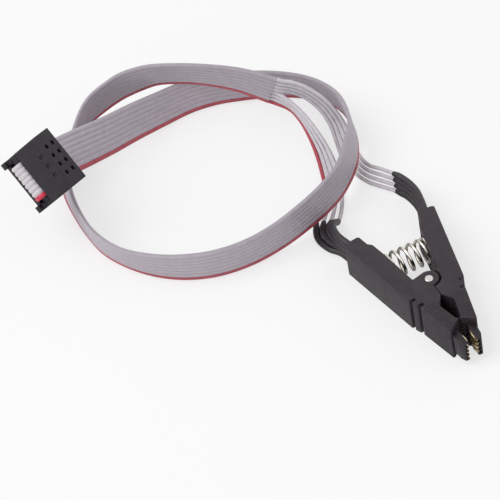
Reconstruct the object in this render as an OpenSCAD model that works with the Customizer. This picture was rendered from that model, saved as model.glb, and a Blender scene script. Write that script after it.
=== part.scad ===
// IC test clip: two sprung plastic levers on one pin carry a comb of sprung contacts
// each, and eight wires lead over a flat ribbon cable to a two-row crimp socket.
// The clip lies on its side. The pin is the Z axis, the jaws point along -Y and the
// handles along +Y. Lever A is on the -X side, lever B on the +X side.

/* [Clip] */
// Thickness of both levers, along the pin
clip_h = 9.4; // [8.6:0.2:12]
// Gap between pieces that move against each other
running_gap = 0.3; // [0.2:0.05:0.4]
// Gap round a piece that is seated in another
seat_gap = 0.1; // [0.05:0.05:0.2]
// Corner radius of the moulded levers
edge_r = 0.6; // [0.2:0.1:0.8]

/* [Handles] */
// Distance from the pin to the rear end of the handles
rear_reach = 20.6; // [19.5:0.2:24]
// Distance from the middle to the outer face at the rear end
handle_spread = 11.9; // [11.4:0.1:14]
// Thickness of a handle at its rear end
handle_rear_t = 4.2; // [3.8:0.1:5]
// Distance from the middle to the inner face beside the pin
waist_inner = 3.4; // [3.2:0.1:3.8]
// Distance from the middle to the outer face in front of the pin
waist_outer = 7.1; // [6.9:0.1:8.2]
// Depth of the thumb step near the rear end, on the inner face
thumb_step = 0.7; // [0.3:0.1:1]

/* [Nose] */
// Gap between the two noses when the clip is closed
nose_gap = 0.2; // [0.1:0.05:0.4]
// Distance from the pin to the outer corner of the nose
nose_reach = 16.8; // [16:0.2:18]
// Distance from the middle to the outer face at the nose's root
nose_root = 5.75; // [5.5:0.05:6.4]
// Distance from the middle to the outer face at the nose's end
nose_end = 3.35; // [3.3:0.05:4]
// Half width of the window between the two noses
window_half = 1.8; // [1:0.1:1.9]
// Width of each of the two outer grooves beside the rib
groove_w = 0.9; // [0.5:0.1:1]
// Depth of the two outer grooves
groove_depth = 1.2; // [0.6:0.1:1.3]

/* [Pivot] */
// Diameter of the pivot pin
pin_d = 2.1; // [1.6:0.1:2.4]
// Clearance on the radius between the pin and the hub that turns on it
pin_fit = 0.05; // [0.02:0.01:0.1]
// Diameter of the ears and of the hub round the pin
ear_d = 4.6; // [4.2:0.1:5]
// Height of each of the two ears
ear_h = 2.2; // [1.6:0.1:2.8]

/* [Spring] */
// Outside diameter of the coil spring
spring_d = 6.6; // [5.6:0.1:6.8]
// Wire diameter of the spring
spring_wire = 0.7; // [0.5:0.05:0.9]
// Turns of the spring, with the closed end turns
spring_turns = 6.5; // [5.5:0.5:8.5]
// Distance from the pin to the spring's axis
spring_y = 12.3; // [11.8:0.1:13]
// Distance from the middle to the floor of the spring pockets
pocket_floor = 6.2; // [5.9:0.1:6.4]

/* [Contacts] */
// Distance between neighbouring contacts, along the pin
contact_pitch = 1.27; // [1:0.01:1.3]
// Width of a contact strip, along the pin
contact_w = 0.8; // [0.5:0.05:0.9]
// Thickness of a contact strip
contact_t = 0.35; // [0.2:0.05:0.4]
// Distance from the pin to the comb's tips
tip_reach = 20.6; // [20:0.1:23]
// Height of a comb, along the pin
comb_h = 5.4; // [5.2:0.1:6.4]
// Thickness of a comb from its inner to its outer face
comb_t = 1.9; // [1.7:0.1:2]

/* [Sleeves and wires] */
// Diameter of the shrink sleeves
sleeve_d = 1.7; // [1.4:0.05:1.75]
// Distance between the sleeves where they enter a handle
sleeve_pitch = 1.85; // [1.8:0.05:1.95]
// Diameter of a single wire
wire_d = 1; // [0.7:0.05:1.1]

/* [Ribbon] */
// Distance between neighbouring conductors of the ribbon
ribbon_pitch = 1.27; // [1.2:0.01:1.3]
// Thickness of the ribbon
ribbon_t = 1; // [0.7:0.05:1.1]

/* [Socket] */
// Distance between neighbouring holes of the socket
socket_pitch = 2.54; // [2:0.01:2.6]
// Length of the socket body, along its rows of holes
socket_l = 14.7; // [13.4:0.1:18]
// Thickness of the socket body, across its two rows
socket_w = 6; // [5.4:0.1:7]
// Height of the socket body, from its mating face to the crimped ribbon
body_h = 8.2; // [7:0.1:9]
// Height of the cover that presses the ribbon on to the contacts
cover_h = 1.9; // [1.5:0.1:3]
// Height of the strain relief bar
relief_h = 1.3; // [1:0.1:2]
// Side of a square mating hole
hole_side = 0.95; // [0.7:0.05:1.1]

/* [Hidden] */
$fn = 40;

ways = 4;                              // contacts on each lever
conductors = 2 * ways;
mid_z = clip_h / 2;
pin_r = pin_d / 2;
ear_r = ear_d / 2;
hub_z = ear_h + running_gap;           // underside of the hub between the ears
hub_h = clip_h - 2 * hub_z;
ear_pocket_r = ear_r + 2 * running_gap;
spring_r = spring_d / 2 - spring_wire / 2;
pocket_r = spring_d / 2 + 0.4;
boss_r = spring_d / 2 - spring_wire - 0.4;
window_y = [5.8, 8.5, 9.2, 14];        // root, shoulders and end of the window
shoulder_y = 3.5;                      // where the handle's outer face ends
nose_root_y = 6.6;                     // where the nose's outer face begins

// ---------- vectors, curves and outlines ----------
function unit(v) = v / norm(v);
function flat(v) = unit([v[0], v[1], 0]);
function left_of(t) = let (f = flat(t)) [-f[1], f[0], 0];
function part(v, n) = [for (k = [0:n - 1]) v[k]];

// one point of a smooth curve through b and c, with neighbours a and d
function smooth(a, b, c, d, t) =
    b + (c - a) * t / 2 + (2 * a - 5 * b + 4 * c - d) * t * t / 2
    + (3 * b - a - 3 * c + d) * t * t * t / 2;

// a smooth curve through all points, with n steps between each two
function curve(p, n) = let (m = len(p) - 1)
    [for (i = [0:m - 1], k = [0:n - 1])
        smooth(i > 0 ? p[i - 1] : 2 * p[0] - p[1], p[i], p[i + 1],
               i < m - 1 ? p[i + 2] : 2 * p[m] - p[m - 1], k / n),
     p[m]];

function tangent(p, i) = unit(p[min(i + 1, len(p) - 1)] - p[max(i - 1, 0)]);

// outline whose corners [x, y, r] are rounded by arcs of radius r
function rounded(c) = let (n = len(c))
    [for (i = [0:n - 1])
        let (p = part(c[i], 2), r = c[i][2],
             u = unit(part(c[(i + n - 1) % n], 2) - p), v = unit(part(c[(i + 1) % n], 2) - p),
             half = acos(u * v) / 2, o = p + unit(u + v) * r / sin(half),
             s = p + u * r / tan(half) - o, e = p + v * r / tan(half) - o)
        each r > 0 ? [for (k = [0:4]) o + unit(s * (4 - k) + e * k) * r] : [p]];

// strip of half width h along a flat path
function strip(p, h) =
    let (n = [for (i = [0:len(p) - 1]) let (t = tangent(p, i)) [-t[1], t[0]]])
    [for (i = [0:len(p) - 1]) p[i] + n[i] * h,
     for (i = [len(p) - 1:-1:0]) p[i] - n[i] * h];

// solid swept through rings: each centre c[i] with a side and an up vector, and a section
module sweep(c, side, up, section) {
    n = len(c);
    m = len(section);
    polyhedron(
        points = [for (i = [0:n - 1], q = section) c[i] + side[i] * q[0] + up[i] * q[1]],
        faces = [[for (k = [m - 1:-1:0]) k],
                 for (i = [0:n - 2], k = [0:m - 1])
                     let (a = i * m + k, b = i * m + (k + 1) % m)
                     each [[a, b, b + m], [a, b + m, a + m]],
                 [for (k = [0:m - 1]) (n - 1) * m + k]]);
}

// round stretch of a line, from its point number first to its point number last
module tube(line, first, last, d, sides = 8) {
    side = [for (i = [first:last]) unit(cross(tangent(line, i), [0, 0, 1]))];
    up = [for (i = [first:last]) cross(side[i - first], tangent(line, i))];
    sweep([for (i = [first:last]) line[i]], side, up,
          [for (k = [0:sides - 1]) d / 2 * [cos(360 * k / sides), sin(360 * k / sides)]]);
}

// ---------- levers ----------
// the right-hand lever's outline; the left-hand one is its mirror image
g = nose_gap / 2;
lever_outline = rounded([
    [g, -window_y[3] - 0.4, 0], [nose_end, -nose_reach, edge_r / 2],
    [nose_root, -nose_root_y, 0], [waist_outer, -shoulder_y, edge_r],
    [handle_spread, rear_reach - 0.6, edge_r],
    [handle_spread - handle_rear_t, rear_reach, edge_r],
    [handle_spread - handle_rear_t - thumb_step, rear_reach - 3.3, edge_r],
    [handle_spread - handle_rear_t - 1.6 * thumb_step - 0.5, rear_reach - 4.2, edge_r],
    [waist_inner + 1.7, rear_reach - 8.8, 0], [waist_inner, 1.5, edge_r / 2],
    [0.4 * ear_r, 0.92 * ear_r, 0], [g, 0.92 * ear_r, 0], [g, -window_y[0], 0],
    [window_half - 0.05, -window_y[1], 0.3], [window_half, -window_y[2], 0.3],
    [0.6, -window_y[3], 0]]);

// middle line of the contacts, from the solder tab to the bowed tip
comb_inner = 1.2;                      // inner face of the comb where it leaves the nose
comb_rear = 11.6;                      // distance from the pin to the comb's rear end
tab = [pocket_floor + 1.7, spring_y + 1.1];    // end of the solder tabs, beside the spring
contact_line = curve([
    tab, [tab[0] - 0.3, spring_y - 0.5],
    [pocket_floor + 0.3, shoulder_y + 2], [waist_inner + 1.7, -1],
    [nose_root - groove_depth - 0.65, 0.6 - nose_root_y],
    [comb_inner + 1.15, 1.1 - comb_rear], [comb_inner + 0.45, -comb_rear - 1.4],
    [comb_inner + 0.4, -tip_reach + 5.2], [comb_inner - 0.25, -tip_reach + 2],
    [comb_inner + 0.1, -tip_reach + 0.35]], 3);
tab_line = [for (k = [0:4]) contact_line[k]];
// the sleeves leave the handle through the middle of its rear end
mouth_x = handle_spread - handle_rear_t / 2;
mouth_line = [tab, [mouth_x, rear_reach], [mouth_x + 0.3, rear_reach + 1.2]];

function sleeve_z(i) = (i - (ways - 1) / 2) * sleeve_pitch;
function contact_z(i) = (i - (ways - 1) / 2) * contact_pitch;
contact_span = (ways - 1) * contact_pitch + contact_w;
sleeve_span = (ways - 1) * sleeve_pitch + sleeve_d;

// a flat shape given a height h, centred on the middle of the clip
module centred(h, z = 0) {
    translate([0, 0, mid_z + z - h / 2]) linear_extrude(h) children();
}

// comb outline; more than 0 makes the pocket that it sits in
function comb_outline(more = 0) = [
    [comb_inner - more, -comb_rear + more], [comb_inner - more, -tip_reach + 4.6],
    [comb_inner - 0.15 - more, -tip_reach + 0.3], [comb_inner + 0.1, -tip_reach - more],
    [comb_inner + 0.9, -tip_reach - more],
    [comb_inner + comb_t - 0.35 + more, -tip_reach + 1.3],
    [comb_inner + comb_t - 0.1 + more, -nose_reach],
    [comb_inner + comb_t + 0.2 + more, -comb_rear + more]];

// everything that both levers share, drawn for the right-hand side
module lever_blank() {
    difference() {
        linear_extrude(clip_h) polygon(lever_outline);
        // channels for the sleeves, the solder tabs and the contacts
        centred(sleeve_span + 2 * seat_gap) polygon(strip(mouth_line, sleeve_d / 2 + seat_gap));
        centred(sleeve_span - 0.4) polygon(strip(tab_line, contact_t / 2 + 0.25));
        centred(contact_span + 0.4) polygon(strip(contact_line, contact_t / 2 + 0.25));
        centred(comb_h + 2 * seat_gap) polygon(comb_outline(seat_gap));
        // pocket that seats the spring
        translate([0, spring_y, mid_z]) rotate([0, 90, 0]) cylinder(r = pocket_r, h = pocket_floor);
        // two grooves across the outer face, with a rib left between them
        for (y = [shoulder_y + groove_w / 2 + 0.1, nose_root_y - groove_w / 2 + 0.2])
            translate([nose_root - groove_depth + (nose_root_y - y) * 0.4, -y - groove_w / 2, -1])
                cube([4, groove_w, clip_h + 2]);
    }
    // boss that centres the spring
    translate([pocket_floor - 1.5, spring_y, mid_z]) rotate([0, 90, 0])
        cylinder(r = boss_r, h = 1.8);
}

module lever_a() {
    color([0.16, 0.16, 0.17]) difference() {
        union() {
            mirror([1, 0, 0]) lever_blank();
            for (z = [0, clip_h - ear_h]) translate([0, 0, z]) cylinder(r = ear_r, h = ear_h);
        }
        // room for the other lever's hub between the ears
        translate([0, 0, ear_h]) cylinder(r = ear_r + running_gap, h = clip_h - 2 * ear_h);
        translate([0, 0, -1]) cylinder(r = pin_r + 0.02, h = clip_h + 2);
    }
}

module lever_b() {
    color([0.16, 0.16, 0.17]) difference() {
        union() {
            difference() {
                lever_blank();
                // room for the other lever's ears above and below the hub
                for (z = [-1, clip_h - hub_z])
                    translate([0, 0, z]) cylinder(r = ear_pocket_r, h = hub_z + 1);
            }
            translate([0, 0, hub_z]) cylinder(r = ear_r, h = hub_h);
        }
        translate([0, 0, -1]) cylinder(r = pin_r + pin_fit, h = clip_h + 2);
    }
}

module comb() {
    slot_back = comb_inner + 0.4 + contact_t / 2 + seat_gap;
    difference() {
        centred(comb_h) polygon(comb_outline());
        for (i = [0:ways - 1]) centred(contact_w + 2 * seat_gap, contact_z(i))
            translate([0, -tip_reach - 1]) square([slot_back, tip_reach + 2 - comb_rear]);
        // the wider run-in of the contacts at the comb's rear end
        centred(contact_span + 2 * seat_gap) intersection() {
            polygon(strip(contact_line, contact_t / 2 + seat_gap));
            translate([0, -comb_rear - 1.2]) square([waist_outer, 3]);
        }
    }
}

module comb_a() { color([0.13, 0.13, 0.14]) mirror([1, 0, 0]) comb(); }
module comb_b() { color([0.13, 0.13, 0.14]) comb(); }

// contact strip number i from the bottom, with a solder tab that reaches its sleeve
module contact(i) {
    color([0.83, 0.74, 0.5]) {
        centred(contact_w, contact_z(i)) polygon(strip(contact_line, contact_t / 2));
        low = min(contact_z(i), sleeve_z(i)) - contact_w / 2;
        high = max(contact_z(i), sleeve_z(i)) + contact_w / 2;
        centred(high - low, (high + low) / 2) polygon(strip(tab_line, contact_t / 2));
    }
}

module contact_a1() { mirror([1, 0, 0]) contact(0); }
module contact_a2() { mirror([1, 0, 0]) contact(1); }
module contact_a3() { mirror([1, 0, 0]) contact(2); }
module contact_a4() { mirror([1, 0, 0]) contact(3); }
module contact_b1() { contact(0); }
module contact_b2() { contact(1); }
module contact_b3() { contact(2); }
module contact_b4() { contact(3); }

// pin with a chamfered foot and a low domed head
module pivot_pin() {
    color([0.82, 0.82, 0.84]) rotate_extrude() polygon([
        [0, 0.1], [pin_r - 0.2, 0.1], [pin_r, 0.3], [pin_r, clip_h - 0.1],
        [0.8 * pin_r, clip_h + 0.1], [0.45 * pin_r, clip_h + 0.18], [0, clip_h + 0.2]]);
}

// spring along X: closed end turns, even turns between
spring_half = pocket_floor - seat_gap - spring_wire / 2;
end_pitch = spring_wire + 0.05;
function coil_x(k) = -spring_half
    + (k < 1 ? k * end_pitch
       : k > spring_turns - 1 ? 2 * spring_half - (spring_turns - k) * end_pitch
       : end_pitch + (k - 1) * (2 * spring_half - 2 * end_pitch) / (spring_turns - 2));

module coil_spring() {
    steps = round(12 * spring_turns);
    k = [for (i = [0:steps]) i * spring_turns / steps];
    c = [for (q = k) [coil_x(q), spring_y + spring_r * cos(360 * q), mid_z + spring_r * sin(360 * q)]];
    out = [for (q = k) [0, cos(360 * q), sin(360 * q)]];
    side = [for (i = [0:steps]) unit(cross(out[i], tangent(c, i)))];
    color([0.86, 0.86, 0.87]) sweep(c, side, out,
        [for (j = [0:7]) spring_wire / 2 * [cos(45 * j), sin(45 * j)]]);
}

// ---------- socket pose, ribbon and wires ----------
socket_at = [-61, 68, 25.5];           // middle of the mating face
socket_turn = [-25, 42, -69];          // turns about X, then Y, then Z

function turn_x(v, a) = [v[0], v[1] * cos(a) - v[2] * sin(a), v[1] * sin(a) + v[2] * cos(a)];
function turn_y(v, a) = [v[0] * cos(a) + v[2] * sin(a), v[1], v[2] * cos(a) - v[0] * sin(a)];
function turn_z(v, a) = [v[0] * cos(a) - v[1] * sin(a), v[0] * sin(a) + v[1] * cos(a), v[2]];
function turned(v) = turn_z(turn_y(turn_x(v, socket_turn[0]), socket_turn[1]), socket_turn[2]);
function at_socket(v) = socket_at + turned(v);
module place_socket() { translate(socket_at) rotate(socket_turn) children(); }

ribbon_w = conductors * ribbon_pitch;
crimp_z = -body_h - seat_gap - ribbon_t / 2;                     // crimped run of the ribbon
relief_z = crimp_z - cover_h - 2 * seat_gap - ribbon_t;          // run under the strain relief
fold_r = (crimp_z - relief_z) / 2;
fold_y = 1.4 - socket_w / 2 - 0.4 + 0.2;                         // centre of the fold

// the ribbon folds round the cover's edge and leaves under the strain relief
fold_route = [
    [0, socket_w / 2, crimp_z], [0, 0, crimp_z],
    for (a = [0:30:180]) [0, fold_y - fold_r * sin(a), crimp_z - fold_r * (1 - cos(a))],
    [0, 0, relief_z], [0, socket_w / 2 + 0.6, relief_z]];

// the free ribbon: x, y, z of its middle, and its lean from upright in degrees,
// towards the left of the way it runs
ribbon_route = [
    [-61.5, 78.2, 14.8, 44], [-56.5, 81, 13.2, 38], [-50.5, 83.5, 11.2, 28], [-44, 86, 9.2, 20],
    [-36.5, 89, 7.2, 15], [-28.5, 91.2, 5.6, 10], [-20.5, 92, 5.2, 6], [-13.5, 90.7, 5.2, 2],
    [-7, 87.8, 5.2, -3], [-1, 84.2, 5.4, -7], [4.5, 79.6, 5.6, -11], [8.4, 74.6, 5.8, -15],
    [10.3, 68, 6.2, -13], [9.7, 61, 6.9, -8], [7.4, 53.8, 7.4, -6], [3.6, 48, 7.4, -9],
    [-2, 42, 7.4, -3], [-8, 38.2, 7.5, -1], [-14.5, 35.8, 7.1, 2], [-22, 34.6, 5.8, 5],
    [-30, 34.2, 5.1, 7], [-38, 35.1, 5.1, 8], [-45, 38, 5.1, 9], [-51.2, 42.6, 5.1, 12],
    [-56.4, 49, 5.1, 15], [-59.6, 57, 5.2, 10], [-60.3, 65.5, 5.2, 4], [-59.8, 73.5, 5.2, -4],
    [-58.2, 81.5, 5, -16], [-55.4, 89.2, 5, -26], [-50.4, 95.3, 5.8, -22], [-43.4, 98.9, 8, -12],
    [-35.8, 98.6, 11, -16], [-29, 94.6, 14.6, -21], [-22.8, 89.2, 16.4, -20],
    [-16.2, 84.4, 16.1, -17], [-9.6, 79.7, 14.5, -11], [-3.6, 75.2, 11.6, -5]];

free_points = curve(ribbon_route, 2);
function lean_up(t, a) = cos(a) * unit([0, 0, 1] - t * t[2]) + sin(a) * left_of(t);
fold_points = [for (p = fold_route) at_socket(p)];
free_centre = [for (p = free_points) part(p, 3)];
ribbon_centre = concat(fold_points, free_centre);
ribbon_up = concat(
    [for (p = fold_points) turned([-1, 0, 0])],
    [for (i = [0:len(free_points) - 1]) let (t = tangent(free_centre, i))
        unit(lean_up(t, free_points[i][3]))]);

module ribbon_cable() {
    n = len(ribbon_centre);
    t = [for (i = [0:n - 1]) tangent(ribbon_centre, i)];
    up = [for (i = [0:n - 1]) unit(ribbon_up[i] - t[i] * (ribbon_up[i] * t[i]))];
    w = ribbon_w / 2;
    h = ribbon_t / 2;
    color([0.72, 0.69, 0.72]) sweep(ribbon_centre, [for (i = [0:n - 1]) cross(t[i], up[i])], up,
        [[h, -w + h / 2], [h, w - h / 2], [h / 2, w], [-h / 2, w],
         [-h, w - h / 2], [-h, -w + h / 2], [-h / 2, -w], [h / 2, -w]]);
}

// the two bundles of four wires, from the handle to the ribbon's end: x, y, z of the
// bundle's middle, the lean of the row of wires from upright, and their spacing
function leaving(s) = [for (q = [tab, [mouth_x, rear_reach], [mouth_x + 1.1, rear_reach + 4.4]])
    [s * q[0], q[1], mid_z, 0, sleeve_pitch]];
route_a = concat(leaving(-1), [
    [-11.5, 29, 4, 25, 1.85], [-10.9, 32.8, 2.7, 55, 1.85], [-9, 36.4, 1.4, 84, 1.8],
    [-6.6, 39.8, 1, 90, 1.8], [-4.2, 43.4, 0.75, 90, 1.5], [-2.2, 47.6, 0.7, 90, 1.25],
    [-0.8, 52, 1.2, 75, 1.25], [0.1, 57, 2.6, 50, 1.2], [0.4, 62, 4.3, 25, 1.2],
    [0.1, 67, 6.2, 5, 1.2], [-1, 71.4, 7.8, -5, 1.25]]);
route_b = concat(leaving(1), [
    [11.4, 29, 4.7, 0, 1.85], [10.9, 33, 4.7, 0, 1.8], [9.6, 36.5, 4.5, 5, 1.75],
    [8.1, 40, 3.8, 20, 1.5], [6.9, 43.6, 2.6, 45, 1.3], [6.3, 47.5, 1.3, 75, 1.25],
    [6.1, 51.5, 0.7, 90, 1.25], [6.2, 55.5, 0.8, 85, 1.25], [6.8, 59.5, 2, 60, 1.25],
    [7, 63.4, 4.6, 35, 1.25], [5.8, 67, 8, 10, 1.25], [3.2, 70.2, 11, -5, 1.25],
    [0.2, 72.5, 12.8, -5, 1.25]]);
sleeved = 10;                          // steps of a wire's line that its sleeve covers
wire_gap = 0.04;                       // from the ribbon's cut end to a wire

// line of wire i; half is -1 on the lower four conductors and 1 on the upper four, and
// each wire goes on straight from its own conductor
function wire_line(route, i, half) =
    let (c = [for (q = route) part(q, 3)], k = i - (ways - 1) / 2, n = len(ribbon_centre) - 1,
         t = tangent(ribbon_centre, n),
         e = ribbon_centre[n] + ribbon_up[n] * (half * ways / 2 + k) * ribbon_pitch)
    curve([for (j = [0:len(c) - 1]) let (u = tangent(c, j))
               c[j] + k * route[j][4] * unit(lean_up(-u, route[j][3])),
           e + t * (wire_gap + 1.5), e + t * wire_gap], 2);

module sleeve_a(i) { color([0.1, 0.1, 0.11]) tube(wire_line(route_a, i, -1), 0, sleeved, sleeve_d); }
module sleeve_b(i) { color([0.1, 0.1, 0.11]) tube(wire_line(route_b, i, 1), 0, sleeved, sleeve_d); }

module wire_a(i, tone) {
    c = wire_line(route_a, i, -1);
    color(tone) tube(c, sleeved, len(c) - 1, wire_d);
}

module wire_b(i, tone) {
    c = wire_line(route_b, i, 1);
    color(tone) tube(c, sleeved, len(c) - 1, wire_d);
}

grey = [0.74, 0.72, 0.74];
red = [0.62, 0.2, 0.25];
module sleeve_a1() { sleeve_a(0); }
module sleeve_a2() { sleeve_a(1); }
module sleeve_a3() { sleeve_a(2); }
module sleeve_a4() { sleeve_a(3); }
module sleeve_b1() { sleeve_b(0); }
module sleeve_b2() { sleeve_b(1); }
module sleeve_b3() { sleeve_b(2); }
module sleeve_b4() { sleeve_b(3); }
module wire_a1() { wire_a(0, red); }
module wire_a2() { wire_a(1, grey); }
module wire_a3() { wire_a(2, grey); }
module wire_a4() { wire_a(3, grey); }
module wire_b1() { wire_b(0, grey); }
module wire_b2() { wire_b(1, grey); }
module wire_b3() { wire_b(2, grey); }
module wire_b4() { wire_b(3, grey); }

// ---------- socket, drawn with its mating face at z = 0 and its rows along x ----------
cavity = hole_side + 0.5;
latch_w = 2.4;                         // width of the latches at both ends
latch_t = 0.9;
latch_l = 5;                           // depth of the latches' recesses in the body
cover_z = crimp_z - ribbon_t / 2 - seat_gap;
bar_z = relief_z - ribbon_t / 2 - seat_gap;

module for_holes() {
    for (i = [0:ways - 1], s = [-1, 1])
        translate([(i - (ways - 1) / 2) * socket_pitch, s * socket_pitch / 2, 0]) children();
}

module socket_body() {
    color([0.2, 0.2, 0.21]) place_socket() difference() {
        translate([-socket_l / 2, -socket_w / 2, -body_h]) cube([socket_l, socket_w, body_h]);
        for_holes() {
            translate([-hole_side / 2, -hole_side / 2, -1.2]) cube([hole_side, hole_side, 2]);
            translate([-cavity / 2, -cavity / 2, -body_h - 1]) cube([cavity, cavity, body_h]);
        }
        // recesses at both ends for the latches of the cover and the strain relief
        for (s = [-1, 1]) translate([s * socket_l / 2, 0, -body_h])
            translate([-latch_t, -latch_w / 2 - seat_gap, -1])
                cube([2 * latch_t, latch_w + 2 * seat_gap, latch_l + 1]);
        // small windows along both wide sides
        for (s = [-1, 1], x = [-socket_pitch, 0, socket_pitch])
            translate([x - 0.45, s * socket_w / 2 - 0.4, -2.6]) cube([0.9, 0.8, 1.4]);
    }
}

// cover with a latch at each end, hooked under a step of the body
module socket_cover() {
    color([0.17, 0.17, 0.18]) place_socket() difference() {
        union() {
            translate([-socket_l / 2, fold_y, cover_z - cover_h])
                cube([socket_l, socket_w / 2 - fold_y, cover_h]);
            for (s = [-1, 1]) translate([s * (socket_l / 2 - latch_t / 2), 0, 0])
                translate([-latch_t / 2 + seat_gap / 2, -latch_w / 2, cover_z - cover_h])
                    cube([latch_t - seat_gap, latch_w,
                          cover_h - cover_z - body_h + latch_l - seat_gap]);
        }
        // shallow grooves that guide the conductors
        for (i = [0:conductors - 1])
            translate([(i - (conductors - 1) / 2) * ribbon_pitch, 0, cover_z + 0.35])
                rotate([90, 0, 0]) cylinder(r = 0.5, h = 20, center = true);
    }
}

// bar with an upright at each end that clips over the cover
module strain_relief() {
    color([0.17, 0.17, 0.18]) place_socket() {
        difference() {
            translate([-socket_l / 2, -socket_w / 2, bar_z - relief_h])
                cube([socket_l, socket_w, relief_h]);
            // the bar is cut back along its middle, so that the fold shows
            translate([-ribbon_w / 2 - 0.6, -socket_w / 2 - 1, bar_z - relief_h - 1])
                cube([ribbon_w + 1.2, 2.2, relief_h + 2]);
        }
        for (s = [-1, 1]) translate([s * (socket_l + ribbon_w + 1) / 4 - 0.55, fold_y, bar_z - 0.2])
            cube([1.1, socket_w / 2 - fold_y, cover_z - cover_h - seat_gap - bar_z + 0.2]);
    }
}

// tuning-fork contact: two sprung arms below the hole, a slot and two crimp points
fork = [[-0.55, -1.6], [-0.3, -1.6], [-0.12, -2.4], [-0.25, -5], [0.25, -5], [0.12, -2.4],
        [0.3, -1.6], [0.55, -1.6], [0.55, -body_h + 1], [0.4, -body_h], [0.15, -body_h + 1.2],
        [-0.15, -body_h + 1.2], [-0.4, -body_h], [-0.55, -body_h + 1]];
module socket_contact(k) {
    column = floor(k / 2);
    row = k % 2;
    color([0.85, 0.72, 0.4]) place_socket()
        translate([(column - (ways - 1) / 2) * socket_pitch, (row - 0.5) * socket_pitch + 0.2, 0])
            rotate([90, 0, 0]) linear_extrude(0.4) polygon(fork);
}
module socket_contact_1() { socket_contact(0); }
module socket_contact_2() { socket_contact(1); }
module socket_contact_3() { socket_contact(2); }
module socket_contact_4() { socket_contact(3); }
module socket_contact_5() { socket_contact(4); }
module socket_contact_6() { socket_contact(5); }
module socket_contact_7() { socket_contact(6); }
module socket_contact_8() { socket_contact(7); }

lever_a();
lever_b();
comb_a();
comb_b();
contact_a1();
contact_a2();
contact_a3();
contact_a4();
contact_b1();
contact_b2();
contact_b3();
contact_b4();
pivot_pin();
coil_spring();
sleeve_a1();
sleeve_a2();
sleeve_a3();
sleeve_a4();
sleeve_b1();
sleeve_b2();
sleeve_b3();
sleeve_b4();
wire_a1();
wire_a2();
wire_a3();
wire_a4();
wire_b1();
wire_b2();
wire_b3();
wire_b4();
ribbon_cable();
socket_body();
socket_cover();
strain_relief();
socket_contact_1();
socket_contact_2();
socket_contact_3();
socket_contact_4();
socket_contact_5();
socket_contact_6();
socket_contact_7();
socket_contact_8();
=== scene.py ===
# %% [markdown]
# # An IC test clip with its ribbon cable
# The clip is a spring-loaded pair of black plastic levers that grips a chip from above.
# Each lever carries a comb with four gold contacts. Eight sleeved wires leave the handles,
# join into a flat ribbon, and the ribbon ends in a two-row crimp socket. We load the packed
# solids first, because every finished piece has to sit exactly where its solid is.
# %% Load the solids
import bpy, math
from mathutils import Vector, Matrix, Euler


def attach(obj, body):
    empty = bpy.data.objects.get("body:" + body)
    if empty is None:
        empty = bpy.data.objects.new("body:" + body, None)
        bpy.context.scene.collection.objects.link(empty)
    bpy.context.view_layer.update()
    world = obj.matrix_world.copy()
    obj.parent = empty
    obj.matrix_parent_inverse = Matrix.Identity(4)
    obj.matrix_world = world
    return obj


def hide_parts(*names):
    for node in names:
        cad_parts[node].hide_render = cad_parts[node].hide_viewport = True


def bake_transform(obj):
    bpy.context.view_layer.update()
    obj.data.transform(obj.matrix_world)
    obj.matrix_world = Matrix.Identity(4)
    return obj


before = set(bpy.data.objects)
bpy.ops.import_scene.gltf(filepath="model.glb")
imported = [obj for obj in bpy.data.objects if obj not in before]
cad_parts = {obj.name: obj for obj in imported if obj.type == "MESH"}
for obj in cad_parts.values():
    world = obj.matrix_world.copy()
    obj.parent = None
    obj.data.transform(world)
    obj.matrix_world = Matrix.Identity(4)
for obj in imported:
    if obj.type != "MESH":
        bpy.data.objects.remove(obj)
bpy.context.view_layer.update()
MM = 0.001
FIXED, SPRUNG = "fixed_lever_and_cable", "sprung_lever"

# %% [markdown]
# ## Camera
# The clip is small, so it is seen from well away with a long lens, a little from the left of
# its jaws and from half-way up. The lens is turned about its own axis, so that the
# ribbon runs level across the frame. Depth of field stays off, because everything is sharp.
# %% Place the camera
def look(position, target, lens, roll):
    data = bpy.data.cameras.new("camera")
    data.lens, data.sensor_width, data.clip_start = lens, 36, 0.01
    cam = bpy.data.objects.new("camera", data)
    bpy.context.collection.objects.link(cam)
    aim = (Vector(target) - Vector(position)).to_track_quat("-Z", "Y")
    cam.matrix_world = (Matrix.Translation(position) @ aim.to_matrix().to_4x4()
                        @ Matrix.Rotation(math.radians(roll), 4, "Z"))
    return cam

camera = look((-0.1491, -0.3656, 0.4257), (-0.02833, 0.03960, 0), 181.4, -11.8)
bpy.context.scene.camera = camera
print("camera lens", camera.data.lens)

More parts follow.
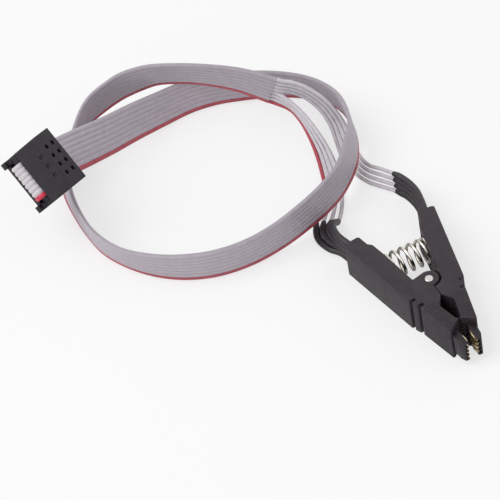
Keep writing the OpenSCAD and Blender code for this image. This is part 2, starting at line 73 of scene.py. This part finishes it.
# %% [markdown]
# ## Material helper
# A procedural material is a small sum: noise, bands and masks are added and multiplied, and
# the result goes to colour, roughness or bump. The class below lets us write that sum
# as plain arithmetic, and its maker method adds one node with its settings and inputs.
# %% A socket that does arithmetic
class Signal:
    def __init__(self, tree, socket):
        self.tree, self.socket = tree, socket

    def make(self, kind, settings=None, out=0, **inputs):
        node = self.tree.nodes.new("ShaderNode" + kind)
        for key, value in (settings or {}).items():
            setattr(node, key, value)
        for key, value in inputs.items():
            slot = node.inputs[int(key[1:]) if key[0] == "i" and key[1:].isdigit()
                               else key.replace("_", " ")]
            if isinstance(value, Signal):
                self.tree.links.new(value.socket, slot)
            else:
                slot.default_value = value
        return Signal(self.tree, node.outputs[out])

    def math(self, how, other=0.0):
        return self.make("Math", {"operation": how}, i0=self, i1=other)

    def __add__(self, other): return self.math("ADD", other)
    def __sub__(self, other): return self.math("SUBTRACT", other)
    def __mul__(self, other): return self.math("MULTIPLY", other)
    def __rsub__(self, other): return self * -1.0 + other
    __radd__, __rmul__ = __add__, __mul__
    def ramp(self, low, high, start=0.0, end=1.0):
        return self.make("MapRange", {"interpolation_type": "SMOOTHSTEP"}, i0=self, i1=low,
                         i2=high, i3=start, i4=end)
    def blend(self, first, second):
        node = self.make("Mix", {"data_type": "RGBA"}, out=2, i0=self)
        for index, value in ((6, first), (7, second)):
            slot = node.socket.node.inputs[index]
            if isinstance(value, Signal):
                self.tree.links.new(value.socket, slot)
            else:
                slot.default_value = (*value, 1)
        return node

# %% Start and finish a material
def begin(name):
    material = bpy.data.materials.new(name)
    material.use_nodes = True
    tree = material.node_tree
    shader = tree.nodes["Principled BSDF"]
    first = Signal(tree, None)
    place = first.make("TexCoord", out=3)
    return material, shader, first, place

def grain(place, scale, detail=3.0, roughness=0.55):
    return place.make("TexNoise", None, 0, Vector=place, Scale=scale, Detail=detail,
                      Roughness=roughness)

def feed(shader, signal, **bumps):
    for key, value in bumps.items():
        signal.tree.links.new(value.socket, shader.inputs[key.replace("_", " ")])

def relief(signal, depth, strength=1.0, under=None):
    extra = {"Normal": under} if under else {}
    return signal.make("Bump", None, 0, Height=signal, Distance=depth, Strength=strength, **extra)

print("material helpers are ready")

# %% [markdown]
# ## Moulded plastics
# The levers are glass-filled nylon: nearly black with a warm cast, matt, with the faint
# mottle of the filler and a satin sheen. The noses have a coarse sparkling grain on their
# outer faces, for grip. A bump gives both, since neither changes the outline of the part.
# %% Lever, comb and socket plastic
def plastic(name, colour, rough, mottle=0.25, depth=0.00002, grip=False):
    material, shader, first, place = begin(name)
    coarse, fine = grain(place, 450, 4), grain(place, 6500, 2)
    tone = (coarse * 0.7 + fine * 0.3).ramp(0.3, 0.7)
    dark = tuple(c * (1 - mottle) for c in colour)
    light = tuple(c * (1 + mottle) for c in colour)
    shader.inputs["Specular IOR Level"].default_value = 0.35
    height = fine * 0.6 + coarse * 0.4
    bump = relief(height, depth, 0.6)
    if grip:
        apart = place.make("SeparateXYZ", None, 1, Vector=place)
        along = apart
        sparkle = grain(place, 2600, 1).ramp(0.4, 0.6)
        nose = along.ramp(-0.0075, -0.0071, 1.0, 0.0) * along.ramp(-0.0166, -0.0161, 0.0, 1.0)
        bump = relief(sparkle * nose, 0.00022, 1.0, bump)
    feed(shader, first, Base_Color=tone.blend(dark, light),
         Roughness=fine.ramp(0.3, 0.7, rough - 0.07, rough + 0.07), Normal=bump)
    return material

finishes = {
    "lever_plastic": plastic("lever_plastic", (0.029, 0.0215, 0.028), 0.48, grip=True),
    "comb_plastic": plastic("comb_plastic", (0.018, 0.0138, 0.0178), 0.45),
    "socket_plastic": plastic("socket_plastic", (0.018, 0.014, 0.0195), 0.42)}
print("plastics", list(finishes))

# %% [markdown]
# ## Metals
# The contacts are gold-plated spring bronze, the pin is bright nickel-plated steel and
# the spring is drawn steel wire. Fine streaks in the roughness stop them from looking like
# mirrors.
# %% Gold, pin and spring
def metal(name, colour, rough, streak=(300, 300, 4000)):
    material, shader, first, place = begin(name)
    stretched = place.make("Mapping", None, 0, Vector=place, Scale=streak)
    lines = grain(stretched, 1.0, 3)
    cloud = grain(place, 900, 2)
    shader.inputs["Metallic"].default_value = 1.0
    feed(shader, first,
         Base_Color=cloud.ramp(0.3, 0.7).blend(tuple(c * 0.85 for c in colour), colour),
         Roughness=lines.ramp(0.3, 0.7, rough - 0.08, rough + 0.1),
         Normal=relief(lines, 0.000008, 0.5))
    return material

finishes["contact_metal"] = metal("contact_metal", (0.9, 0.74, 0.48), 0.26)
finishes["pin_steel"] = metal("pin_steel", (0.68, 0.65, 0.63), 0.34, (2500, 2500, 300))
finishes["spring_steel"] = metal("spring_steel", (0.76, 0.72, 0.66), 0.2, (4000, 900, 900))
print("metals added", len(finishes))

# %% [markdown]
# ## Rubber and vinyl
# Shrink sleeves are soft and satin black. The wires and the ribbon have a smooth
# vinyl coat, pale grey, and the first conductor is red. The red sits on the ribbon's own
# UV map, whose first axis counts the conductors, so it follows every twist. The web between
# two conductors is darkened as painted shade, and the tight fold at the socket is paler.
# %% Sleeves, wires and ribbon
def vinyl(name, colour, rough, spread=0.06, second=None, sheen=0.5, scale=700):
    material, shader, first, place = begin(name)
    cloud, fine = grain(place, scale, 3), grain(place, 9000, 2)
    body = cloud.ramp(0.3, 0.7).blend(tuple(c * (1 - spread) for c in colour),
                                      tuple(min(1, c * (1 + spread)) for c in colour))
    if second:
        across = place.make("TexCoord", out=2)
        count = across.make("SeparateXYZ", None, 0, Vector=across)
        wander = count + (grain(place, 500, 2) - 0.5) * 0.12
        edge = wander.ramp(0.9, 1.06, 1.0, 0.0)
        strong = cloud.ramp(0.35, 0.65).blend(tuple(c * 0.8 for c in second), second)
        body = edge.blend(body, strong)
        # Painted shade: the web between two conductors is darkened where shade falls between the
        # ridges.
        painted_valley_shade = (count.math("FRACT") - 0.5).math("ABSOLUTE").ramp(0.34, 0.5)
        body = (painted_valley_shade * 0.5).blend(body, tuple(c * 0.42 for c in colour))
        run = Signal(place.tree, count.socket.node.outputs[1]).ramp(30, 38, 1.0, 0.0)
        pale = edge.blend((0.64, 0.6, 0.63), (0.62, 0.03, 0.07))
        body = (run * (1.0 - 0.7 * painted_valley_shade)).blend(body, pale)
    shader.inputs["Specular IOR Level"].default_value = sheen
    feed(shader, first, Base_Color=body, Roughness=cloud.ramp(0.3, 0.7, rough - 0.06, rough + 0.06),
         Normal=relief(fine * 0.5 + cloud * 0.5, 0.00002, 0.4))
    return material

finishes["sleeve_rubber"] = vinyl("sleeve_rubber", (0.0215, 0.0172, 0.0215), 0.42, 0.15)
finishes["wire_grey"] = vinyl("wire_grey", (0.62, 0.59, 0.63), 0.4)
finishes["wire_red"] = vinyl("wire_red", (0.45, 0.06, 0.09), 0.38)
finishes["ribbon_grey"] = vinyl("ribbon_grey", (0.49, 0.44, 0.495), 0.38, 0.05, (0.5, 0.085, 0.115))
print("finishes", sorted(finishes))

# %% [markdown]
# ## Lines through the air
# A cable is a smooth curve through a few marked points. The curve below passes through every
# point, and a lean says how far the flat ribbon tips from standing upright. The same points
# carry the solids, so the finished cables lie where those are.
# %% Curve helpers
def smooth(a, b, c, d, t):
    return [q + (r - p) * t / 2 + (2 * p - 5 * q + 4 * r - s) * t * t / 2
            + (3 * q - p - 3 * r + s) * t ** 3 / 2 for p, q, r, s in zip(a, b, c, d)]

def curve(points, steps):
    last, line = len(points) - 1, []
    for i in range(last):
        a = points[i - 1] if i else [2 * p - q for p, q in zip(points[0], points[1])]
        d = (points[i + 2] if i < last - 1
             else [2 * p - q for p, q in zip(points[last], points[last - 1])])
        line += [smooth(a, points[i], points[i + 1], d, k / steps) for k in range(steps)]
    return line + [list(points[last])]

def heading(line, i):
    a, b = line[max(i - 1, 0)], line[min(i + 1, len(line) - 1)]
    return (Vector(b[:3]) - Vector(a[:3])).normalized()

def lean_up(t, angle):
    left = Vector((-t.y, t.x, 0)).normalized()
    upright = (Vector((0, 0, 1)) - t * t.z).normalized()
    return (upright * math.cos(math.radians(angle)) + left * math.sin(math.radians(angle))).normalized()

def turned(v):
    return Euler([math.radians(a) for a in (-25, 42, -69)], "XYZ").to_matrix() @ Vector(v)

def at_socket(v):
    return Vector((-61, 68, 25.5)) + turned(v)

def metres(p):
    return tuple(x * MM for x in p[:3])

# %% The ribbon's route: x, y, z and lean
PITCH, WIDTH, CRIMP, UNDER = 1.27, 10.16, -8.8, -11.9
FOLD_R, FOLD_Y = 1.55, -1.8
fold = [at_socket(p) for p in
        [(0, 3, CRIMP), (0, 0, CRIMP)]
        + [(0, FOLD_Y - FOLD_R * math.sin(math.radians(a)),
            CRIMP - FOLD_R * (1 - math.cos(math.radians(a)))) for a in range(0, 181, 30)]
        + [(0, 0, UNDER), (0, 3.6, UNDER)]]
ribbon_route = [
    [-61.5, 78.2, 14.8, 44], [-56.5, 81, 13.2, 38], [-50.5, 83.5, 11.2, 28], [-44, 86, 9.2, 20],
    [-36.5, 89, 7.2, 15], [-28.5, 91.2, 5.6, 10], [-20.5, 92, 5.2, 6], [-13.5, 90.7, 5.2, 2],
    [-7, 87.8, 5.2, -3], [-1, 84.2, 5.4, -7], [4.5, 79.6, 5.6, -11], [8.4, 74.6, 5.8, -15],
    [10.3, 68, 6.2, -13], [9.7, 61, 6.9, -8], [7.4, 53.8, 7.4, -6], [3.6, 48, 7.4, -9],
    [-2, 42, 7.4, -3], [-8, 38.2, 7.5, -1], [-14.5, 35.8, 7.1, 2], [-22, 34.6, 5.8, 5],
    [-30, 34.2, 5.1, 7], [-38, 35.1, 5.1, 8], [-45, 38, 5.1, 9], [-51.2, 42.6, 5.1, 12],
    [-56.4, 49, 5.1, 15], [-59.6, 57, 5.2, 10], [-60.3, 65.5, 5.2, 4], [-59.8, 73.5, 5.2, -4],
    [-58.2, 81.5, 5, -16], [-55.4, 89.2, 5, -26], [-50.4, 95.3, 5.8, -22], [-43.4, 98.9, 8, -12],
    [-35.8, 98.6, 11, -16], [-29, 94.6, 14.6, -21], [-22.8, 89.2, 16.4, -20],
    [-16.2, 84.4, 16.1, -17], [-9.6, 79.7, 14.5, -11], [-3.6, 75.2, 11.6, -5]]
STEPS, FOLD_STEPS = 6, 4
free = curve(ribbon_route, STEPS)
fold_line = [Vector(p) for p in curve(fold, FOLD_STEPS)]
ribbon_line = fold_line + [Vector(p[:3]) for p in free]
ribbon_up = ([turned((-1, 0, 0))] * len(fold_line)
             + [lean_up(heading(free, i), free[i][3]) for i in range(len(free))])
ribbon_ups = []
for i, up in enumerate(ribbon_up):
    t = heading(ribbon_line, i)
    ribbon_ups.append((up - t * up.dot(t)).normalized())

# %% [markdown]
# ## Swept meshes
# A cable is one outline carried along its line. Ring after ring is joined by quads and both
# ends are closed. Each face also gets a UV place: the first axis counts across the
# outline, the second runs along the cable.
# %% Sweep an outline along a line
def swept(name, rings, counts, finish):
    mesh = bpy.data.meshes.new(name)
    size, verts, faces, uvs = len(rings[0]), [metres(p) for ring in rings for p in ring], [], []
    for i in range(len(rings) - 1):
        for k in range(size):
            n = (k + 1) % size
            faces.append((i * size + k, i * size + n, (i + 1) * size + n, (i + 1) * size + k))
            mid = (counts[k] + counts[n]) / 2
            uvs += [(mid, i), (mid, i), (mid, i + 1), (mid, i + 1)]
    for start, turn in ((0, -1), ((len(rings) - 1) * size, 1)):
        for k in range(size // 2 - 1):
            quad = (start + k, start + k + 1, start + size - 2 - k, start + size - 1 - k)
            faces.append(quad[::turn])
            uvs += [(counts[k], 0)] * 4
    mesh.from_pydata(verts, [], faces)
    layer = mesh.uv_layers.new(name="UVMap")
    for loop, uv in zip(layer.data, uvs):
        loop.uv = uv
    piece = bpy.data.objects.new(name, mesh)
    bpy.context.collection.objects.link(piece)
    bpy.ops.object.select_all(action="DESELECT")
    bpy.context.view_layer.objects.active = piece
    piece.select_set(True)
    bpy.ops.object.mode_set(mode="EDIT")
    bpy.ops.mesh.select_all(action="SELECT")
    bpy.ops.mesh.normals_make_consistent(inside=False)
    bpy.ops.object.mode_set(mode="OBJECT")
    bpy.ops.object.shade_smooth_by_angle(angle=math.radians(50))
    mesh.materials.append(finishes[finish])
    return piece

# %% [markdown]
# ## The ribbon
# Eight conductors lie side by side, so the ribbon's faces are eight soft ridges with a thin
# web between them. The outline is made of eight lobes, round at both outer edges.
# %% Outline of the ribbon and its mesh
outline, counts, LAST = [], [], 7
HALF_THICK, WEB, FOLD_WEB = 0.5, 0.2, 0.06
for side in (1, -1):
    lobes = range(LAST + 1) if side > 0 else range(LAST, -1, -1)
    for lobe in lobes:
        marks = [0.06, 0.25, 0.5, 0.75, 0.94]
        for m in (marks if side > 0 else marks[::-1]):
            bow = math.sqrt(max(0, 1 - (2 * m - 1) ** 2))
            outer = (lobe == 0 and m < 0.5) or (lobe == LAST and m > 0.5)
            outline.append((side * bow, outer, (lobe + m) * PITCH - WIDTH / 2))
            counts.append(lobe + m)
rings = []
for i, centre in enumerate(ribbon_line):
    t, up = heading(ribbon_line, i), ribbon_ups[i]
    side = t.cross(up)
    web = FOLD_WEB if i < len(fold_line) else WEB
    rings.append([centre + up * b + side * math.copysign(
        HALF_THICK * abs(bow) if outer else web + (HALF_THICK - web) * abs(bow), bow)
        for bow, outer, b in outline])
ribbon = swept("ribbon", rings, counts, "ribbon_grey")
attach(ribbon, FIXED)
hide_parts("ribbon_cable")
print("ribbon faces", len(ribbon.data.polygons))

# %% [markdown]
# ## Wires and sleeves
# Past its cut end the ribbon is split into eight single wires. Four go to each lever. Each
# wire enters a black shrink sleeve, which grips it with a narrowed mouth and runs into the
# handle, where the wire is soldered to its contact.
# %% The two bundles: x, y, z, lean and spacing
leaving = [(7.9, 13.4), (9.8, 20.6), (10.9, 25)]
route_a = [[-x, y, 4.7, 0, 1.85] for x, y in leaving] + [
    [-11.5, 29, 4, 25, 1.85], [-10.9, 32.8, 2.7, 55, 1.85], [-9, 36.4, 1.4, 84, 1.8],
    [-6.6, 39.8, 1, 90, 1.8], [-4.2, 43.4, 0.75, 90, 1.5], [-2.2, 47.6, 0.7, 90, 1.25],
    [-0.8, 52, 1.2, 75, 1.25], [0.1, 57, 2.6, 50, 1.2], [0.4, 62, 4.3, 25, 1.2],
    [0.1, 67, 6.2, 5, 1.2], [-1, 71.4, 7.8, -5, 1.25]]
route_b = [[x, y, 4.7, 0, 1.85] for x, y in leaving] + [
    [11.4, 29, 4.7, 0, 1.85], [10.9, 33, 4.7, 0, 1.8], [9.6, 36.5, 4.5, 5, 1.75],
    [8.1, 40, 3.8, 20, 1.5], [6.9, 43.6, 2.6, 45, 1.3], [6.3, 47.5, 1.3, 75, 1.25],
    [6.1, 51.5, 0.7, 90, 1.25], [6.2, 55.5, 0.8, 85, 1.25], [6.8, 59.5, 2, 60, 1.25],
    [7, 63.4, 4.6, 35, 1.25], [5.8, 67, 8, 10, 1.25], [3.2, 70.2, 11, -5, 1.25],
    [0.2, 72.5, 12.8, -5, 1.25]]

def wire_marks(route, i, half):
    k, t = i - 1.5, heading(ribbon_line, len(ribbon_line) - 1)
    marks = [Vector(p[:3]) + lean_up(-heading(route, j), p[3]) * (k * p[4])
             for j, p in enumerate(route)]
    start = ribbon_line[-1] + ribbon_ups[-1] * ((half * 2 + k) * PITCH)
    return marks + [start + t * 1.54, start + t * 0.04]

# %% A round tube whose radius may change
def tube(name, line, radii, finish, sides=16):
    rings, side = [], None
    for i, centre in enumerate(line):
        t = heading(line, i)
        side = t.cross(Vector((0, 0, 1))) if side is None else side
        side = (side - t * side.dot(t)).normalized()
        up = side.cross(t)
        rings.append([centre + (side * math.cos(2 * math.pi * k / sides)
                                + up * math.sin(2 * math.pi * k / sides)) * radii[i]
                      for k in range(sides)])
    return swept(name, rings, [k / sides for k in range(sides)], finish)

# %% Make eight wires and eight sleeves
WIRE_STEPS, SLEEVED_MARKS = 8, 5
SLEEVE_R, WIRE_R = 0.85, 0.5
MOUTH = (0.62, 0.68, 0.76, 0.83)
wires, sleeves = {}, {}
for letter, route, half in (("a", route_a, -1), ("b", route_b, 1)):
    for i in range(4):
        label = f"{letter}{i + 1}"
        line = [Vector(p) for p in curve(wire_marks(route, i, half), WIRE_STEPS)]
        cut = WIRE_STEPS * SLEEVED_MARKS
        reach = line[:cut + 1]
        radii = [SLEEVE_R] * len(reach)
        for k, radius in enumerate(MOUTH):
            radii[-1 - k] = radius
        sleeve = tube(f"shrink_sleeve_{label}", reach, radii, "sleeve_rubber")
        free_line = line[cut:]
        wire = tube(f"wire_strand_{label}", free_line, [WIRE_R] * len(free_line),
                    "wire_red" if label == "a1" else "wire_grey", 12)
        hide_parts(f"sleeve_{label}")
        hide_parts(f"wire_{label}")
        if letter == "a":
            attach(sleeve, FIXED)
            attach(wire, FIXED)
        else:
            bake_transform(sleeve)
            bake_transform(wire)
        sleeves[label], wires[label] = sleeve, (wire, free_line)
print("wires", len(wires), "sleeves", len(sleeves))

# %% [markdown]
# ## Moulded pieces
# Every moulded edge of the real clip is slightly round, because a steel mould can't cut
# a perfectly sharp corner and burrs are tumbled off. We copy each solid, merge its loose
# triangles, dissolve flat faces back to whole ones, and bevel the sharp edges, so that
# light catches them. The solid itself is never changed.
# %% Copy a solid and round its edges
def rounded_copy(name, node, body, finish, width, segments=2, angle=32):
    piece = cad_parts[node].copy()
    piece.data = piece.data.copy()
    piece.name = name
    for key in list(piece.keys()):
        if key.startswith("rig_"):
            del piece[key]
    piece.parent = None
    bpy.context.collection.objects.link(piece)
    piece.hide_render = piece.hide_viewport = False
    bpy.ops.object.select_all(action="DESELECT")
    piece.select_set(True)
    bpy.context.view_layer.objects.active = piece
    bpy.ops.object.mode_set(mode="EDIT")
    bpy.ops.mesh.select_all(action="SELECT")
    bpy.ops.mesh.remove_doubles(threshold=0.000002)
    bpy.ops.mesh.dissolve_limited(angle_limit=math.radians(1))
    bpy.ops.object.mode_set(mode="OBJECT")
    if width:
        bevel = piece.modifiers.new("edges", "BEVEL")
        bevel.width, bevel.segments = width * MM, segments
        bevel.limit_method, bevel.angle_limit = "ANGLE", math.radians(angle)
        bevel.use_clamp_overlap = True
        bpy.ops.object.modifier_apply(modifier="edges")
    bpy.ops.object.shade_smooth_by_angle(angle=math.radians(40))
    piece.data.materials.clear()
    piece.data.materials.append(finishes[finish])
    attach(piece, body)
    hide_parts(node)
    return piece

# %% Levers, combs and socket
moulded = [("handle_lever_left", "lever_a", FIXED, "lever_plastic", 0.14),
           ("handle_lever_right", "lever_b", SPRUNG, "lever_plastic", 0.14),
           ("comb_left", "comb_a", FIXED, "comb_plastic", 0.05),
           ("comb_right", "comb_b", SPRUNG, "comb_plastic", 0.05),
           ("socket_block", "socket_body", FIXED, "socket_plastic", 0.12),
           ("socket_lid", "socket_cover", FIXED, "socket_plastic", 0.1),
           ("relief_bar", "strain_relief", FIXED, "socket_plastic", 0.1)]
dressed = {node: rounded_copy(name, node, body, finish, width)
           for name, node, body, finish, width in moulded}
print({node: len(p.data.polygons) for node, p in dressed.items()})

# %% [markdown]
# ## Spring
# The spring is drawn wire, wound into even turns with closed ends that sit flat in the two
# pockets. It is a round tube along a helix whose pitch is small over the first and last turn.
# %% The coil spring
TURNS, COIL_R, COIL_WIRE, HALF, CLOSED = 6.5, 2.93, 0.8, 5.69, 0.88
helix = []
for k in range(int(TURNS * 24) + 1):
    turn = k / 24
    if turn < 1:
        x = -HALF + turn * CLOSED
    elif turn > TURNS - 1:
        x = HALF - (TURNS - turn) * CLOSED
    else:
        x = -HALF + CLOSED + (turn - 1) * (2 * HALF - 2 * CLOSED) / (TURNS - 2)
    helix.append(Vector((x, 12.3 + COIL_R * math.cos(2 * math.pi * turn),
                         4.7 + COIL_R * math.sin(2 * math.pi * turn))))
spring = tube("wound_spring", helix, [COIL_WIRE / 2] * len(helix), "spring_steel", 12)
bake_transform(spring)
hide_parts("coil_spring")
print("spring faces", len(spring.data.polygons))

# %% [markdown]
# ## Metal parts
# The contacts and the pin keep their solids: they are stamped or turned to those shapes.
# They only get their finish.
# %% Finish the contacts and the pin
for node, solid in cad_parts.items():
    if node.startswith(("contact_", "socket_contact_")):
        solid.data.materials.clear()
        solid.data.materials.append(finishes["contact_metal"])
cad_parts["pivot_pin"].data.materials.clear()
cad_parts["pivot_pin"].data.materials.append(finishes["pin_steel"])
print("metal parts finished")

# %% [markdown]
# ## Cords
# The ribbon and the eight wires are free cords. Their points are turned into metres, from the end
# nearer the clip, and the socket's pieces are gathered in a list.
socket_parts = [dressed[n] for n in ("socket_body", "socket_cover", "strain_relief")]
socket_parts += [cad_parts[f"socket_contact_{k}"] for k in range(1, 9)]
metres(ribbon_line[-1])
[metres(p) for p in reversed(ribbon_line)]
for label, (wire, line) in wires.items():
    metres(line[0])
    [metres(p) for p in line]
print("cords", 1 + len(wires))

# %% [markdown]
# ## Floor and light
# A product on white needs a floor that is nearly white, one soft main lamp for shape, and a
# sky of even light for the rest. Mirror-like parts see the same white as the lens does.
# %% Floor
bpy.ops.object.select_all(action="DESELECT")
bpy.ops.mesh.primitive_grid_add(x_subdivisions=4, y_subdivisions=4, size=8, location=(0, 0, 0))
floor = bpy.context.active_object
floor.name = "floor"
floor_paint, shader, first, place = begin("floor_paint")
shader.inputs["Roughness"].default_value = 0.9
shader.inputs["Specular IOR Level"].default_value = 0.1
feed(shader, first, Base_Color=grain(place, 3, 2).ramp(0.2, 0.8).blend((0.93, 0.93, 0.93),
                                                                     (0.94, 0.94, 0.94)))
glow = first.make("Emission", None, 0, Color=(1, 1, 1, 1), Strength=1.0)
half = first.make("LightPath", out=0) * 0.65
join = first.make("MixShader", None, 0, i0=half, i2=glow)
tree = first.tree
tree.links.new(shader.outputs[0], join.socket.node.inputs[1])
tree.links.new(join.socket, tree.nodes["Material Output"].inputs["Surface"])
floor.data.materials.append(floor_paint)
print("floor size", tuple(floor.dimensions))

# %% Lamps and sky
def lamp(name, power, size, position, target=(-0.025, 0.04, 0)):
    data = bpy.data.lights.new(name, "AREA")
    data.energy, data.size, data.shape = power, size, "SQUARE"
    light = bpy.data.objects.new(name, data)
    bpy.context.collection.objects.link(light)
    aim = (Vector(target) - Vector(position)).to_track_quat("-Z", "Y")
    light.matrix_world = Matrix.Translation(position) @ aim.to_matrix().to_4x4()
    return light

lamp("main_lamp", 4.2, 0.7, (-0.55, 0.1, 0.75))
lamp("fill_lamp", 1.2, 0.9, (0.6, -0.5, 0.6))
world = bpy.data.worlds.new("sky")
bpy.context.scene.world = world
world.use_nodes = True
sky = Signal(world.node_tree, None)
paths = sky.make("LightPath", out=0)
seen = paths.math("MAXIMUM", Signal(world.node_tree, paths.socket.node.outputs[3]))
seen = seen.math("MAXIMUM", Signal(world.node_tree, paths.socket.node.outputs[6]))
background = world.node_tree.nodes["Background"]
background.inputs["Color"].default_value = (1, 1, 1, 1)
world.node_tree.links.new(seen.ramp(0, 1, 0.55, 1.0).socket, background.inputs["Strength"])
bpy.context.scene.view_settings.view_transform = "Standard"
print("lamps and sky are set")
